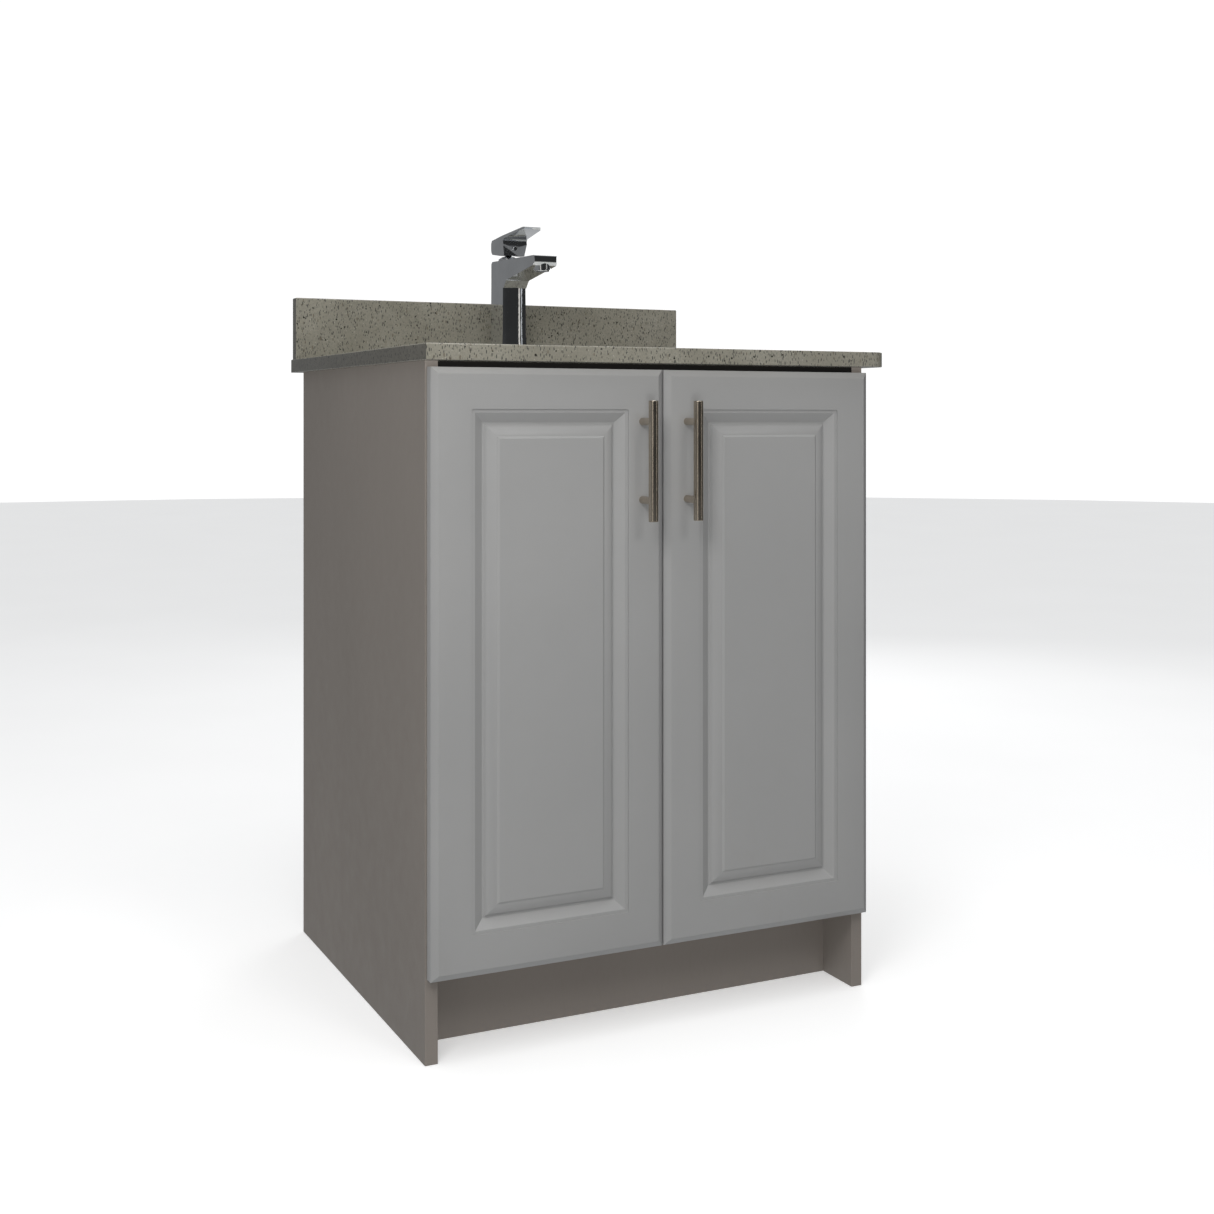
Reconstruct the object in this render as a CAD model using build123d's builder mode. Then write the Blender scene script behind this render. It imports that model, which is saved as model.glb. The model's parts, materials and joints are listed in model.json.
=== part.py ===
from build123d import *
import os
from math import sin, cos, tan, radians, sqrt

os.makedirs("parts", exist_ok=True)

# ----------------------------------------------------------------------------
# Bathroom vanity cabinet, two raised-panel doors, stone top with backsplash,
# undermount basin and single-lever faucet.
# Millimetres.  +X right, +Y to the wall, +Z up, front of the cabinet faces -Y.
# The origin is on the floor, below the centre of the whole object's box.
# ----------------------------------------------------------------------------

# ---- driving dimensions ------------------------------------------------------
CAB_W = 610.0            # carcass width (24 in nominal)
CAB_D = 538.5            # side panel depth
CAB_H = 819.4            # floor to the underside of the top
PANEL_T = 16.0           # carcass board

TOP_T = 19.2             # stone top thickness
TOP_SIDE = 13.35         # overhang each side
TOP_FRONT = 43.0         # overhang beyond the panel fronts
TOP_REAR = 19.7          # overhang behind the panel rears
TOP_CORNER_R = 23.5      # rounded front right corner
TOP_EASE = 1.6           # eased arris

SPLASH_H = 90.4
SPLASH_T = 19.0
SPLASH_INSET = 2.6

KICK_BACK = 67.0         # kick board set back from the panel fronts
BOTTOM_Z = 100.0         # underside of the bottom panel

DOOR_T = 18.0
DOOR_AIR = 1.0           # gap between door back and panel front edges
DOOR_W = 302.0
DOOR_H = 711.8
DOOR_Z = 100.6
DOOR_SIDE = 2.0          # reveal at the outer edges
DOOR_GAP = 2.0           # gap between the doors
EDGE_W, EDGE_D = 7.9, 5.7        # bevelled front edge of a door
QUIRK_IN, QUIRK_D = 49.0, 1.3    # first step of the routed panel
SLOPE_IN0, SLOPE_IN1 = 53.2, 64.6
VALLEY_D = 8.8
RISE_IN0, RISE_IN1, RISE_IN2 = 66.8, 69.4, 79.6
RISE_D1, RISE_D2 = 6.0, 1.7
FIELD_IN0, FIELD_IN1 = 81.0, 83.8

BAR_D = 12.0             # pull handle bar
BAR_L = 147.0
BAR_CC = 96.0
POST_D = 9.6
HANDLE_Z = 700.5
HANDLE_INSET = 30.0      # from the meeting edge
HANDLE_OUT = 54.0        # foremost point of the bar ahead of the panel fronts

CUP_INSET = 21.5         # hinge cup centre from the door's outer edge
CUP_R, CUP_DEPTH = 17.5, 12.5
HINGE_FROM_END = 100.0   # cup centre from the door's top and bottom
PIVOT_X, PIVOT_Y = 6.5, -15.5    # door axis from the outer front corner of the side panel

SINK_W, SINK_L, SINK_R = 440.0, 318.0, 56.0     # opening in the top
SINK_YC = 245.0          # centre of the opening behind the panel fronts
SINK_DEPTH = 148.0
SINK_WALL = 9.0

FAUCET_Y = 492.0         # faucet axis behind the panel fronts
BODY_W = 36.8            # width of the faucet body
LIFT_Z = 166.0           # lever pivot above the top's surface

# ---- derived positions -------------------------------------------------------
YF = -(CAB_D + TOP_REAR - HANDLE_OUT) / 2       # panel front edges
YR = YF + CAB_D                                 # panel rear edges
XL = -CAB_W / 2                                 # left panel outer face
XI = XL + PANEL_T                               # left panel inner face
TOP_Z0 = CAB_H
TOP_Z1 = CAB_H + TOP_T
Y_TOP0 = YF - TOP_FRONT
Y_TOP1 = YR + TOP_REAR
DOOR_BACK = YF - DOOR_AIR
DOOR_FRONT = DOOR_BACK - DOOR_T
INNER_W = CAB_W - 2 * PANEL_T
FY = YF + FAUCET_Y
FZ = TOP_Z1
SY = YF + SINK_YC
PLATE_Y = YF + 37.0               # hinge plate screws behind the panel fronts
HINGE_Z = (DOOR_Z + HINGE_FROM_END, DOOR_Z + DOOR_H - HINGE_FROM_END)

ROT = {"X": (0, 90, 0), "Y": (90, 0, 0), "Z": (0, 0, 0)}


def rod(axis, x, y, z, r, length, mode=Mode.ADD):
    """Cylinder centred on a point along a named axis."""
    with Locations(Location((x, y, z), ROT[axis])):
        Cylinder(r, length, mode=mode)


def slab(x0, x1, y0, y1, z0, z1, mode=Mode.ADD):
    """Box between two corners."""
    with Locations(((x0 + x1) / 2, (y0 + y1) / 2, (z0 + z1) / 2)):
        Box(x1 - x0, y1 - y0, z1 - z0, mode=mode)


def keep(part, name):
    part.label = name
    export_step(part, "parts/" + name + ".step")


# ============================================================================
# Carcass
# ============================================================================
BACK_T = 6.0
GROOVE = 6.3
BACK_Y0 = YR - 24.0              # front face of the back panel
SHELF_Z = 360.0
PIN_Z = [SHELF_Z - 2.6 + 32 * i for i in (-2, -1, 0, 1, 2)]
PIN_Y = (YF + 96.0, YR - 150.0)
RAIL_Y1 = YF + 60.0

with BuildPart() as side_panel_left:
    slab(XL, XI, YF, YR, 0, CAB_H)
    # eased visible edges of the board
    fillet(side_panel_left.edges().filter_by(Axis.Z), 0.8)
    # groove for the back panel, open at the top
    slab(XI - 5.0, XI, BACK_Y0 - 0.15, BACK_Y0 - 0.15 + GROOVE, BOTTOM_Z, CAB_H, Mode.SUBTRACT)
    # blind holes for the shelf pins
    for py in PIN_Y:
        for pz in PIN_Z:
            rod("X", XI - 5.0, py, pz, 2.55, 10.0, Mode.SUBTRACT)
    # pilot holes for the hinge plates
    for hz in HINGE_Z:
        for dz in (-16.0, 16.0):
            rod("X", XI - 5.5, PLATE_Y, hz + dz, 2.6, 11.0, Mode.SUBTRACT)
    # holes for the cam bolts and dowels of the bottom panel and rails
    for by in (YF + 60, YF + 440):
        rod("X", XI - 5.5, by, BOTTOM_Z + 8, 2.6, 11.0, Mode.SUBTRACT)
        rod("X", XI - 5.5, by + 32, BOTTOM_Z + 8, 4.05, 11.0, Mode.SUBTRACT)
    rod("X", XI - 5.5, YF + 34, CAB_H - 8, 2.6, 11.0, Mode.SUBTRACT)
    for rz in (TOP_Z0 - 66, TOP_Z0 - 30, BOTTOM_Z + 36):
        rod("X", XI - 5.5, YR - 8, rz, 2.6, 11.0, Mode.SUBTRACT)
keep(side_panel_left.part, "side_panel_left")

with BuildPart() as side_panel_right:
    mirror(side_panel_left.part, about=Plane.YZ)
keep(side_panel_right.part, "side_panel_right")

CAM_IN = 34.0                    # cam disc centre from the board end
with BuildPart() as bottom_panel:
    slab(XI, -XI, YF, BACK_Y0 - 0.2, BOTTOM_Z, BOTTOM_Z + PANEL_T)
    fillet(bottom_panel.edges().filter_by(Axis.X).group_by(Axis.Y)[0], 0.8)
    for s in (-1, 1):
        for by in (YF + 60, YF + 440):
            rod("Z", s * (-XI - CAM_IN), by, BOTTOM_Z + 6.25, 7.55, 12.5, Mode.SUBTRACT)
            rod("X", s * (-XI - CAM_IN / 2), by, BOTTOM_Z + 8, 4.05, CAM_IN, Mode.SUBTRACT)
            rod("X", s * (-XI - 11.0), by + 32, BOTTOM_Z + 8, 4.05, 22.0, Mode.SUBTRACT)
keep(bottom_panel.part, "bottom_panel")

with BuildPart() as top_front_rail:
    slab(XI, -XI, YF, RAIL_Y1, CAB_H - PANEL_T, CAB_H)
    fillet(top_front_rail.edges().filter_by(Axis.X).group_by(Axis.Y)[0], 0.8)
    for s in (-1, 1):
        rod("Z", s * (-XI - CAM_IN), YF + 34, CAB_H - PANEL_T + 6.25, 7.55, 12.5, Mode.SUBTRACT)
        rod("X", s * (-XI - CAM_IN / 2), YF + 34, CAB_H - 8, 4.05, CAM_IN, Mode.SUBTRACT)
keep(top_front_rail.part, "top_front_rail")

# Upright rail across the top of the back, for the screws into the wall.
WALL_HOLES_X = 406.4             # 16 in stud spacing
WALL_HOLE_Z = TOP_Z0 - 48.0
with BuildPart() as wall_rail:
    slab(XI, -XI, YR - PANEL_T, YR, TOP_Z0 - 96, TOP_Z0 - 0.2)
    for s in (-1, 1):
        rod("Y", s * WALL_HOLES_X / 2, YR - 8, WALL_HOLE_Z, 2.5, 40, Mode.SUBTRACT)
        for rz in (TOP_Z0 - 66, TOP_Z0 - 30):
            rod("Y", s * (-XI - CAM_IN), YR - 6.25, rz, 7.55, 12.6, Mode.SUBTRACT)
            rod("X", s * (-XI - CAM_IN / 2), YR - 8, rz, 4.05, CAM_IN, Mode.SUBTRACT)
keep(wall_rail.part, "wall_rail")

with BuildPart() as lower_rear_rail:
    slab(XI, -XI, YR - PANEL_T, YR, BOTTOM_Z, BOTTOM_Z + 72)
    for s in (-1, 1):
        rod("Y", s * (-XI - CAM_IN), YR - 6.25, BOTTOM_Z + 36, 7.55, 12.6, Mode.SUBTRACT)
        rod("X", s * (-XI - CAM_IN / 2), YR - 8, BOTTOM_Z + 36, 4.05, CAM_IN, Mode.SUBTRACT)
keep(lower_rear_rail.part, "lower_rear_rail")

# Back panel in its grooves, with the cut-out for waste and supply pipes.
PIPE_X, PIPE_Z0, PIPE_Z1 = 130.0, 420.0, 620.0
with BuildPart() as back_panel:
    slab(XI - 4.7, -XI + 4.7, BACK_Y0, BACK_Y0 + BACK_T, BOTTOM_Z + 0.3, TOP_Z0 - 0.3)
    slab(-PIPE_X, PIPE_X, BACK_Y0 - 5, BACK_Y0 + BACK_T + 5, PIPE_Z0, PIPE_Z1, Mode.SUBTRACT)
    fillet(back_panel.edges().filter_by(Axis.Y).filter_by_position(
        Axis.Z, PIPE_Z0 - 1, PIPE_Z1 + 1), 12)
keep(back_panel.part, "back_panel")

with BuildPart() as toe_kick:
    slab(XI, -XI, YF + KICK_BACK, YF + KICK_BACK + PANEL_T, 0, BOTTOM_Z)
    fillet(toe_kick.edges().filter_by(Axis.X).group_by(Axis.Z)[0].sort_by(Axis.Y)[0], 0.8)
keep(toe_kick.part, "toe_kick")

with BuildPart() as shelf:
    slab(XI + 1.0, -XI - 1.0, YF + 40, YR - 110, SHELF_Z, SHELF_Z + PANEL_T)
    fillet(shelf.edges().filter_by(Axis.X).group_by(Axis.Y)[0], 1.0)
    fillet(shelf.edges().filter_by(Axis.Z), 2.0)
keep(shelf.part, "shelf")

with BuildPart() as shelf_pins:
    for s in (-1, 1):
        for py in PIN_Y:
            rod("X", s * (-XI + 1.0), py, SHELF_Z - 2.6, 2.5, 18.0)
            slab(min(s * -XI, s * (-XI - 9)), max(s * -XI, s * (-XI - 9)), py - 5, py + 5,
                 SHELF_Z - 1.6, SHELF_Z)
keep(shelf_pins.part, "shelf_pins")

# Knock-down fittings: a bolt in the side panel drawn up by a cam disc in the board.
with BuildPart() as cam_discs:
    for s in (-1, 1):
        for by in (YF + 60, YF + 440):
            rod("Z", s * (-XI - CAM_IN), by, BOTTOM_Z + 6.2, 7.4, 12.0)
            rod("X", s * (-XI - CAM_IN + 4), by, BOTTOM_Z + 8, 4.0, 9.0, Mode.SUBTRACT)
            slab(s * (-XI - CAM_IN) - 5, s * (-XI - CAM_IN) + 5, by - 0.8, by + 0.8,
                 BOTTOM_Z, BOTTOM_Z + 2.0, Mode.SUBTRACT)
        rod("Z", s * (-XI - CAM_IN), YF + 34, CAB_H - PANEL_T + 6.2, 7.4, 12.0)
        rod("X", s * (-XI - CAM_IN + 4), YF + 34, CAB_H - 8, 4.0, 9.0, Mode.SUBTRACT)
        for rz in (TOP_Z0 - 66, TOP_Z0 - 30, BOTTOM_Z + 36):
            rod("Y", s * (-XI - CAM_IN), YR - 6.3, rz, 7.4, 12.0)
            rod("X", s * (-XI - CAM_IN + 4), YR - 8, rz, 4.0, 9.0, Mode.SUBTRACT)
keep(cam_discs.part, "cam_discs")

with BuildPart() as cam_bolts:
    for s in (-1, 1):
        spots = [(YF + 60, BOTTOM_Z + 8), (YF + 440, BOTTOM_Z + 8), (YF + 34, CAB_H - 8),
                 (YR - 8, TOP_Z0 - 66), (YR - 8, TOP_Z0 - 30), (YR - 8, BOTTOM_Z + 36)]
        for by, bz in spots:
            rod("X", s * (-XI + 5.25), by, bz, 2.5, 10.5)
            rod("X", s * (-XI - 14.0), by, bz, 3.0, 28.0)
            rod("X", s * (-XI - 28.5), by, bz, 2.0, 3.0)
            rod("X", s * (-XI - 30.5), by, bz, 3.2, 2.0)
keep(cam_bolts.part, "cam_bolts")

with BuildPart() as dowels:
    for s in (-1, 1):
        for by in (YF + 92, YF + 472):
            rod("X", s * (-XI - 5.2), by, BOTTOM_Z + 8, 4.0, 30.0)
keep(dowels.part, "dowels")

# ============================================================================
# Stone top, backsplash, basin
# ============================================================================
FAUCET_HOLE_R = 17.5
with BuildPart() as countertop:
    slab(XL - TOP_SIDE, -XL + TOP_SIDE, Y_TOP0, Y_TOP1, TOP_Z0, TOP_Z1)
    fillet(countertop.edges().filter_by(Axis.Z).sort_by(Axis.Y)[:2].sort_by(Axis.X)[-1], TOP_CORNER_R)
    fillet(countertop.edges().filter_by(Axis.Z).filter_by_position(Axis.X, XL - 20, XL), 1.5)
    top_rim = countertop.faces().sort_by(Axis.Z)[-1].edges()
    fillet(top_rim, TOP_EASE)
    low_rim = countertop.faces().sort_by(Axis.Z)[0].edges()
    fillet(low_rim, 0.8)
    with BuildSketch(Plane.XY.offset(TOP_Z1)):
        with Locations((0, SY)):
            RectangleRounded(SINK_W, SINK_L, SINK_R)
        with Locations((0, FY)):
            Circle(FAUCET_HOLE_R)
    extrude(amount=-TOP_T, mode=Mode.SUBTRACT)
    inner_rim = (countertop.edges().filter_by_position(Axis.Z, TOP_Z1 - 0.01, TOP_Z1 + 0.01)
                 .filter_by_position(Axis.Y, SY - SINK_L / 2 - 1, SY + SINK_L / 2 + 1)
                 .filter_by_position(Axis.X, -SINK_W / 2 - 1, SINK_W / 2 + 1))
    fillet(inner_rim, 1.6)
keep(countertop.part, "countertop")

with BuildPart() as backsplash:
    slab(XL - TOP_SIDE + SPLASH_INSET, -XL + TOP_SIDE - SPLASH_INSET,
         Y_TOP1 - SPLASH_T, Y_TOP1, TOP_Z1, TOP_Z1 + SPLASH_H)
    fillet(backsplash.faces().sort_by(Axis.Z)[-1].edges(), TOP_EASE)
    fillet(backsplash.edges().filter_by(Axis.Z), 1.0)
keep(backsplash.part, "backsplash")

BEAD = 1.6
B_TOP = TOP_Z0 - BEAD            # top of the basin's rim
B_BOT = B_TOP - SINK_DEPTH       # inside floor of the basin
BW, BL, BR = SINK_W + 4, SINK_L + 4, SINK_R + 2
RIM = 22.0
DRAIN_R = 22.5
OVER_Z = B_TOP - 34.0
OVER_Y = SY - BL / 2             # inside face of the front wall at the rim
WALL_LEAN = 12.36                # lean of the bowl's walls, degrees

with BuildPart() as sink_basin:
    # outer shell
    with BuildSketch(Plane.XY.offset(B_TOP)):
        with Locations((0, SY)):
            RectangleRounded(BW + 2 * SINK_WALL, BL + 2 * SINK_WALL, BR + SINK_WALL)
    with BuildSketch(Plane.XY.offset(B_BOT - SINK_WALL)):
        with Locations((0, SY)):
            RectangleRounded(BW - 64 + 2 * SINK_WALL, BL - 64 + 2 * SINK_WALL, BR + SINK_WALL)
    loft()
    fillet(sink_basin.faces().sort_by(Axis.Z)[0].edges(), 38)
    # flat rim glued and clipped under the top
    with BuildSketch(Plane.XY.offset(B_TOP)):
        with Locations((0, SY)):
            RectangleRounded(BW + 2 * RIM, BL + 2 * RIM, BR + RIM)
    extrude(amount=-13)
    fillet(sink_basin.edges().filter_by_position(Axis.Z, B_TOP - 13.1, B_TOP - 12.9)
           .filter_by(lambda e: e.bounding_box().min.Y < SY - BL / 2 - RIM + 1
                      or e.bounding_box().max.Y > SY + BL / 2 + RIM - 1
                      or e.bounding_box().max.X > BW / 2 + RIM - 1
                      or e.bounding_box().min.X < -BW / 2 - RIM + 1), 2.0)
    # duct that carries the overflow down to the drain
    slab(-22, 22, OVER_Y - 11, OVER_Y + 30, B_BOT - 6, B_TOP - 6)
    slab(-22, 22, OVER_Y - 11, SY, B_BOT - 23, B_BOT - 5)
    rod("Z", 0, SY, B_BOT - 11.5, 33.0, 23.0)
    # bowl
    with BuildSketch(Plane.XY.offset(B_TOP)):
        with Locations((0, SY)):
            RectangleRounded(BW, BL, BR)
    with BuildSketch(Plane.XY.offset(B_BOT)):
        with Locations((0, SY)):
            RectangleRounded(BW - 64, BL - 64, BR)
    loft(mode=Mode.SUBTRACT)

with BuildPart() as bowl_floor_fill:
    # rounded corner between the bowl's wall and floor
    with BuildSketch(Plane.XY.offset(B_TOP)):
        with Locations((0, SY)):
            RectangleRounded(BW, BL, BR)
    with BuildSketch(Plane.XY.offset(B_BOT)):
        with Locations((0, SY)):
            RectangleRounded(BW - 64, BL - 64, BR)
    loft()
    with BuildSketch(Plane.XY.offset(B_TOP)):
        with Locations((0, SY)):
            RectangleRounded(BW, BL, BR)
    with BuildSketch(Plane.XY.offset(B_BOT)):
        with Locations((0, SY)):
            RectangleRounded(BW - 64, BL - 64, BR)
    bowl_core = loft(mode=Mode.PRIVATE)
    bowl_core = bowl_core.fillet(30, bowl_core.faces().sort_by(Axis.Z)[0].edges())
    add(bowl_core, mode=Mode.SUBTRACT)

with BuildPart() as basin_done:
    add(sink_basin.part)
    add(bowl_floor_fill.part)
    # drain hole with a seat for the flange
    rod("Z", 0, SY, B_BOT - 15, DRAIN_R, 60.0, Mode.SUBTRACT)
    rod("Z", 0, SY, B_BOT + 0.0, 33.0, 3.0, Mode.SUBTRACT)
    # overflow hole square to the sloping front wall, and the passage behind it
    with Locations(Location((0, OVER_Y + 7.4, OVER_Z), (-90 + WALL_LEAN, 0, 0))):
        Cylinder(12.0, 26.0, mode=Mode.SUBTRACT)
    slab(-14, 14, OVER_Y - 7.0, OVER_Y - 0.5, B_BOT - 17.0, OVER_Z + 12, Mode.SUBTRACT)
    slab(-14, 14, OVER_Y - 7.0, SY, B_BOT - 18.0, B_BOT - 10.0, Mode.SUBTRACT)
keep(basin_done.part, "sink_basin")

with BuildPart() as basin_sealant:
    with BuildSketch(Plane.XY.offset(B_TOP)):
        with Locations((0, SY)):
            RectangleRounded(BW + 14, BL + 14, BR + 7)
            RectangleRounded(BW + 1, BL + 1, BR + 0.5, mode=Mode.SUBTRACT)
    extrude(amount=BEAD)
keep(basin_sealant.part, "basin_sealant")

# Clips that hold the basin's rim up against the top, two at each side.
CLIPS = [(d * (BW / 2 + RIM), SY + dy, d) for d in (-1, 1) for dy in (-80, 80)]
with BuildPart() as sink_clips:
    for cx, cy, d in CLIPS:
        far = cx + d * 26.0
        xa, xb = sorted((cx - d * 10.0, far))
        slab(xa, xb, cy - 10, cy + 10, B_TOP - 15.6, B_TOP - 13.05)
        xa, xb = sorted((far - d * 2.5, far))
        slab(xa, xb, cy - 10, cy + 10, B_TOP - 15.6, TOP_Z0 - 0.05)
        rod("Z", cx + d * 13, cy, B_TOP - 14.3, 3.3, 6.0, Mode.SUBTRACT)
keep(sink_clips.part, "sink_clips")

with BuildPart() as sink_clip_screws:
    for cx, cy, d in CLIPS:
        zz = TOP_Z0 - 0.05
        rod("Z", cx + d * 13, cy, (zz + B_TOP - 22) / 2, 2.9, zz - (B_TOP - 22))
        with BuildSketch(Plane.XY.offset(B_TOP - 20.0)):
            with Locations((cx + d * 13, cy)):
                RegularPolygon(6.6, 6)
        extrude(amount=4.3)
keep(sink_clip_screws.part, "sink_clip_screws")

with BuildPart() as overflow_ring:
    # chrome grommet in the overflow hole
    with BuildSketch(Plane(origin=(0, OVER_Y + 7.6, OVER_Z), x_dir=(1, 0, 0),
                           z_dir=(0, cos(radians(WALL_LEAN)), sin(radians(WALL_LEAN))))):
        Circle(14.0)
        Circle(9.6, mode=Mode.SUBTRACT)
    extrude(amount=2.0)
    fillet(overflow_ring.edges().filter_by(GeomType.CIRCLE).sort_by(
        lambda e: e.center().Y * 1000 + e.radius)[-1], 0.9)
    with BuildSketch(Plane(origin=(0, OVER_Y + 7.8, OVER_Z), x_dir=(1, 0, 0),
                           z_dir=(0, cos(radians(WALL_LEAN)), sin(radians(WALL_LEAN))))):
        Circle(11.7)
        Circle(9.6, mode=Mode.SUBTRACT)
    extrude(amount=-7.0)
keep(overflow_ring.part, "overflow_ring")

# ============================================================================
# Drain
# ============================================================================
SEAT = B_BOT - 1.5               # seat for the flange
D_LOW = B_BOT - 78.0
with BuildPart() as drain_body:
    with BuildSketch(Plane.XZ.offset(-SY)):
        with BuildLine():
            Polyline((16.0, SEAT + 1.6), (19.0, SEAT + 2.4), (30.0, SEAT + 1.6), (31.5, SEAT),
                     (22.0, SEAT), (22.0, D_LOW + 6), (20.0, D_LOW + 4), (20.0, D_LOW),
                     (16.4, D_LOW), (16.4, SEAT - 8), (19.0, SEAT - 5), (19.0, SEAT - 2),
                     (16.0, SEAT + 1.6), close=True)
        make_face()
    revolve(axis=Axis((0, SY, 0), (0, 0, 1)))
    # ports that let the overflow in, level with the duct
    rod("Y", 0, SY, B_BOT - 14, 4.0, 60.0, Mode.SUBTRACT)
    rod("X", 0, SY, B_BOT - 14, 4.0, 60.0, Mode.SUBTRACT)
    # cross bridge that guides the stopper's stem
    slab(-18.9, 18.9, SY - 1.5, SY + 1.5, SEAT - 30, SEAT - 24)
    slab(-1.5, 1.5, SY - 18.9, SY + 18.9, SEAT - 30, SEAT - 24)
    rod("Z", 0, SY, SEAT - 27, 6.5, 10.0)
    rod("Z", 0, SY, SEAT - 27, 3.3, 12.0, Mode.SUBTRACT)
keep(drain_body.part, "drain_body")

with BuildPart() as drain_gasket:
    with BuildSketch(Plane.XZ.offset(-SY)):
        with BuildLine():
            Polyline((22.2, B_BOT - 23.1), (33, B_BOT - 23.1), (33, B_BOT - 27), (27, B_BOT - 31.4),
                     (22.2, B_BOT - 31.4), close=True)
        make_face()
    revolve(axis=Axis((0, SY, 0), (0, 0, 1)))
keep(drain_gasket.part, "drain_gasket")

with BuildPart() as drain_nut:
    with BuildSketch(Plane.XY.offset(B_BOT - 31.5)):
        with Locations((0, SY)):
            RegularPolygon(33, 8)
            Circle(22.3, mode=Mode.SUBTRACT)
    extrude(amount=-9)
    rod("Z", 0, SY, B_BOT - 43, 29.0, 6.0)
    rod("Z", 0, SY, B_BOT - 43, 22.3, 30.0, Mode.SUBTRACT)
keep(drain_nut.part, "drain_nut")

TAIL_Z0 = D_LOW - 92.0
with BuildPart() as drain_tailpiece:
    with BuildSketch(Plane.XZ.offset(-SY)):
        with BuildLine():
            Polyline((14.6, TAIL_Z0), (16.0, TAIL_Z0), (16.0, D_LOW + 12.0),
                     (14.6, D_LOW + 12.0), close=True)
        make_face()
        with BuildLine():
            Polyline((15.9, D_LOW - 0.1), (23.5, D_LOW - 0.1), (23.5, D_LOW - 4), (15.9, D_LOW - 6),
                     close=True)
        make_face()
    revolve(axis=Axis((0, SY, 0), (0, 0, 1)))
keep(drain_tailpiece.part, "drain_tailpiece")

with BuildPart() as drain_stopper:
    # domed cap on a guided stem; it lifts to open
    cap_z = SEAT + 2.6
    with BuildSketch(Plane.XZ.offset(-SY)):
        with BuildLine():
            under = Polyline((0, cap_z - 46), (3.0, cap_z - 46), (3.0, cap_z - 6.2), (15.0, cap_z - 6.2),
                             (15.0, cap_z - 3.8), (7.0, cap_z - 3.8), (7.0, cap_z + 0.1),
                             (25.5, cap_z + 0.1), (26.5, cap_z + 1.4))
            dome = Bezier(under @ 1, (18.0, cap_z + 4.2), (9.0, cap_z + 4.8), (0, cap_z + 4.8))
            Line(dome @ 1, under @ 0)
        make_face()
    revolve(axis=Axis((0, SY, 0), (0, 0, 1)))
keep(drain_stopper.part, "drain_stopper")

# ============================================================================
# Faucet
# ============================================================================
GASK = 1.6
HB = BODY_W / 2


def body_section(half, rear, front, bulge):
    """Section of the faucet body: flat back and sides, convex front."""
    with BuildSketch() as section:
        with BuildLine():
            a = Polyline((-half, front), (-half, rear), (half, rear), (half, front))
            ThreePointArc(a @ 1, (0, front - bulge), a @ 0)
        make_face()
    return section.sketch


with BuildPart() as faucet_body:
    # head and spout: one side profile carried across the width
    with BuildSketch(Plane.YZ) as side:
        with BuildLine():
            outline = FilletPolyline(
                (FY + 23.8, FZ + 110), (FY + 23.8, FZ + 149.4), (FY + 20.0, FZ + 152.6),
                (FY - 141.6, FZ + 148.7), (FY - 142.6, FZ + 139.2), (FY - 138.4, FZ + 134.4),
                (FY - 37.0, FZ + 120.8), (FY - 26.4, FZ + 110),
                radius=[2.0, 2.0, 1.2, 2.2, 2.2, 6.0])
            Line(outline @ 1, outline @ 0)
        make_face()
    extrude(amount=HB, both=True)
    # outline from above: rounded corners at the spout's end
    with BuildSketch(Plane.XY.offset(FZ + 100)):
        with Locations((0, FY - 59.5)):
            RectangleRounded(BODY_W, 169.0, 5.0)
        with Locations((0, FY + 10)):
            Rectangle(BODY_W, 27.6)
    extrude(amount=70, mode=Mode.INTERSECT)
    # column, a little wider at its foot
    with BuildSketch(Plane.XY.offset(FZ + GASK)):
        with Locations((0, FY)):
            add(body_section(HB + 2.2, 24.5, -25.5, 4.2))
    with BuildSketch(Plane.XY.offset(FZ + 44)):
        with Locations((0, FY)):
            add(body_section(HB + 0.5, 23.9, -23.9, 3.6))
    loft()
    with BuildSketch(Plane.XY.offset(FZ + 44)):
        with Locations((0, FY)):
            add(body_section(HB + 0.5, 23.9, -23.9, 3.6))
    with BuildSketch(Plane.XY.offset(FZ + 118)):
        with Locations((0, FY)):
            add(body_section(HB, 23.8, -23.5, 3.4))
    loft()
    # seat for the aerator
    rod("Z", 0, FY - 128.5, FZ + 133.5, 12.6, 9.0)
    rod("Z", 0, FY - 128.5, FZ + 132.0, 11.1, 13.0, Mode.SUBTRACT)
    # waterway from the cartridge to the aerator
    rod("Y", 0, FY - 72.0, FZ + 139.0, 5.0, 116.0, Mode.SUBTRACT)
    # cartridge chamber
    rod("Z", 0, FY, FZ + 129.0, 15.9, 60.0, Mode.SUBTRACT)
    # inlet ways from below
    for s in (-1, 1):
        rod("Z", s * 7.0, FY + 2, FZ + 55.0, 4.0, 110.0, Mode.SUBTRACT)
keep(faucet_body.part, "faucet_body")

with BuildPart() as faucet_base_gasket:
    with BuildSketch(Plane.XY.offset(FZ)):
        with Locations((0, FY)):
            add(body_section(HB + 1.2, 23.6, -24.6, 4.0))
        with Locations((0, FY)):
            Circle(16.0, mode=Mode.SUBTRACT)
    extrude(amount=GASK)
keep(faucet_base_gasket.part, "faucet_base_gasket")

with BuildPart() as faucet_aerator:
    with BuildSketch(Plane.XZ.offset(-(FY - 128.5))):
        with BuildLine():
            Polyline((0, FZ + 136.5), (11.0, FZ + 136.5), (11.0, FZ + 127.2), (10.2, FZ + 126.4),
                     (8.6, FZ + 126.4), (8.6, FZ + 128.4), (0, FZ + 128.4), close=True)
        make_face()
    revolve(axis=Axis((0, FY - 128.5, 0), (0, 0, 1)))
    with Locations((0, FY - 128.5, FZ + 128.4)):
        with GridLocations(3.0, 3.0, 5, 5):
            Cylinder(0.9, 3.0, mode=Mode.SUBTRACT)
keep(faucet_aerator.part, "faucet_aerator")

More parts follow.
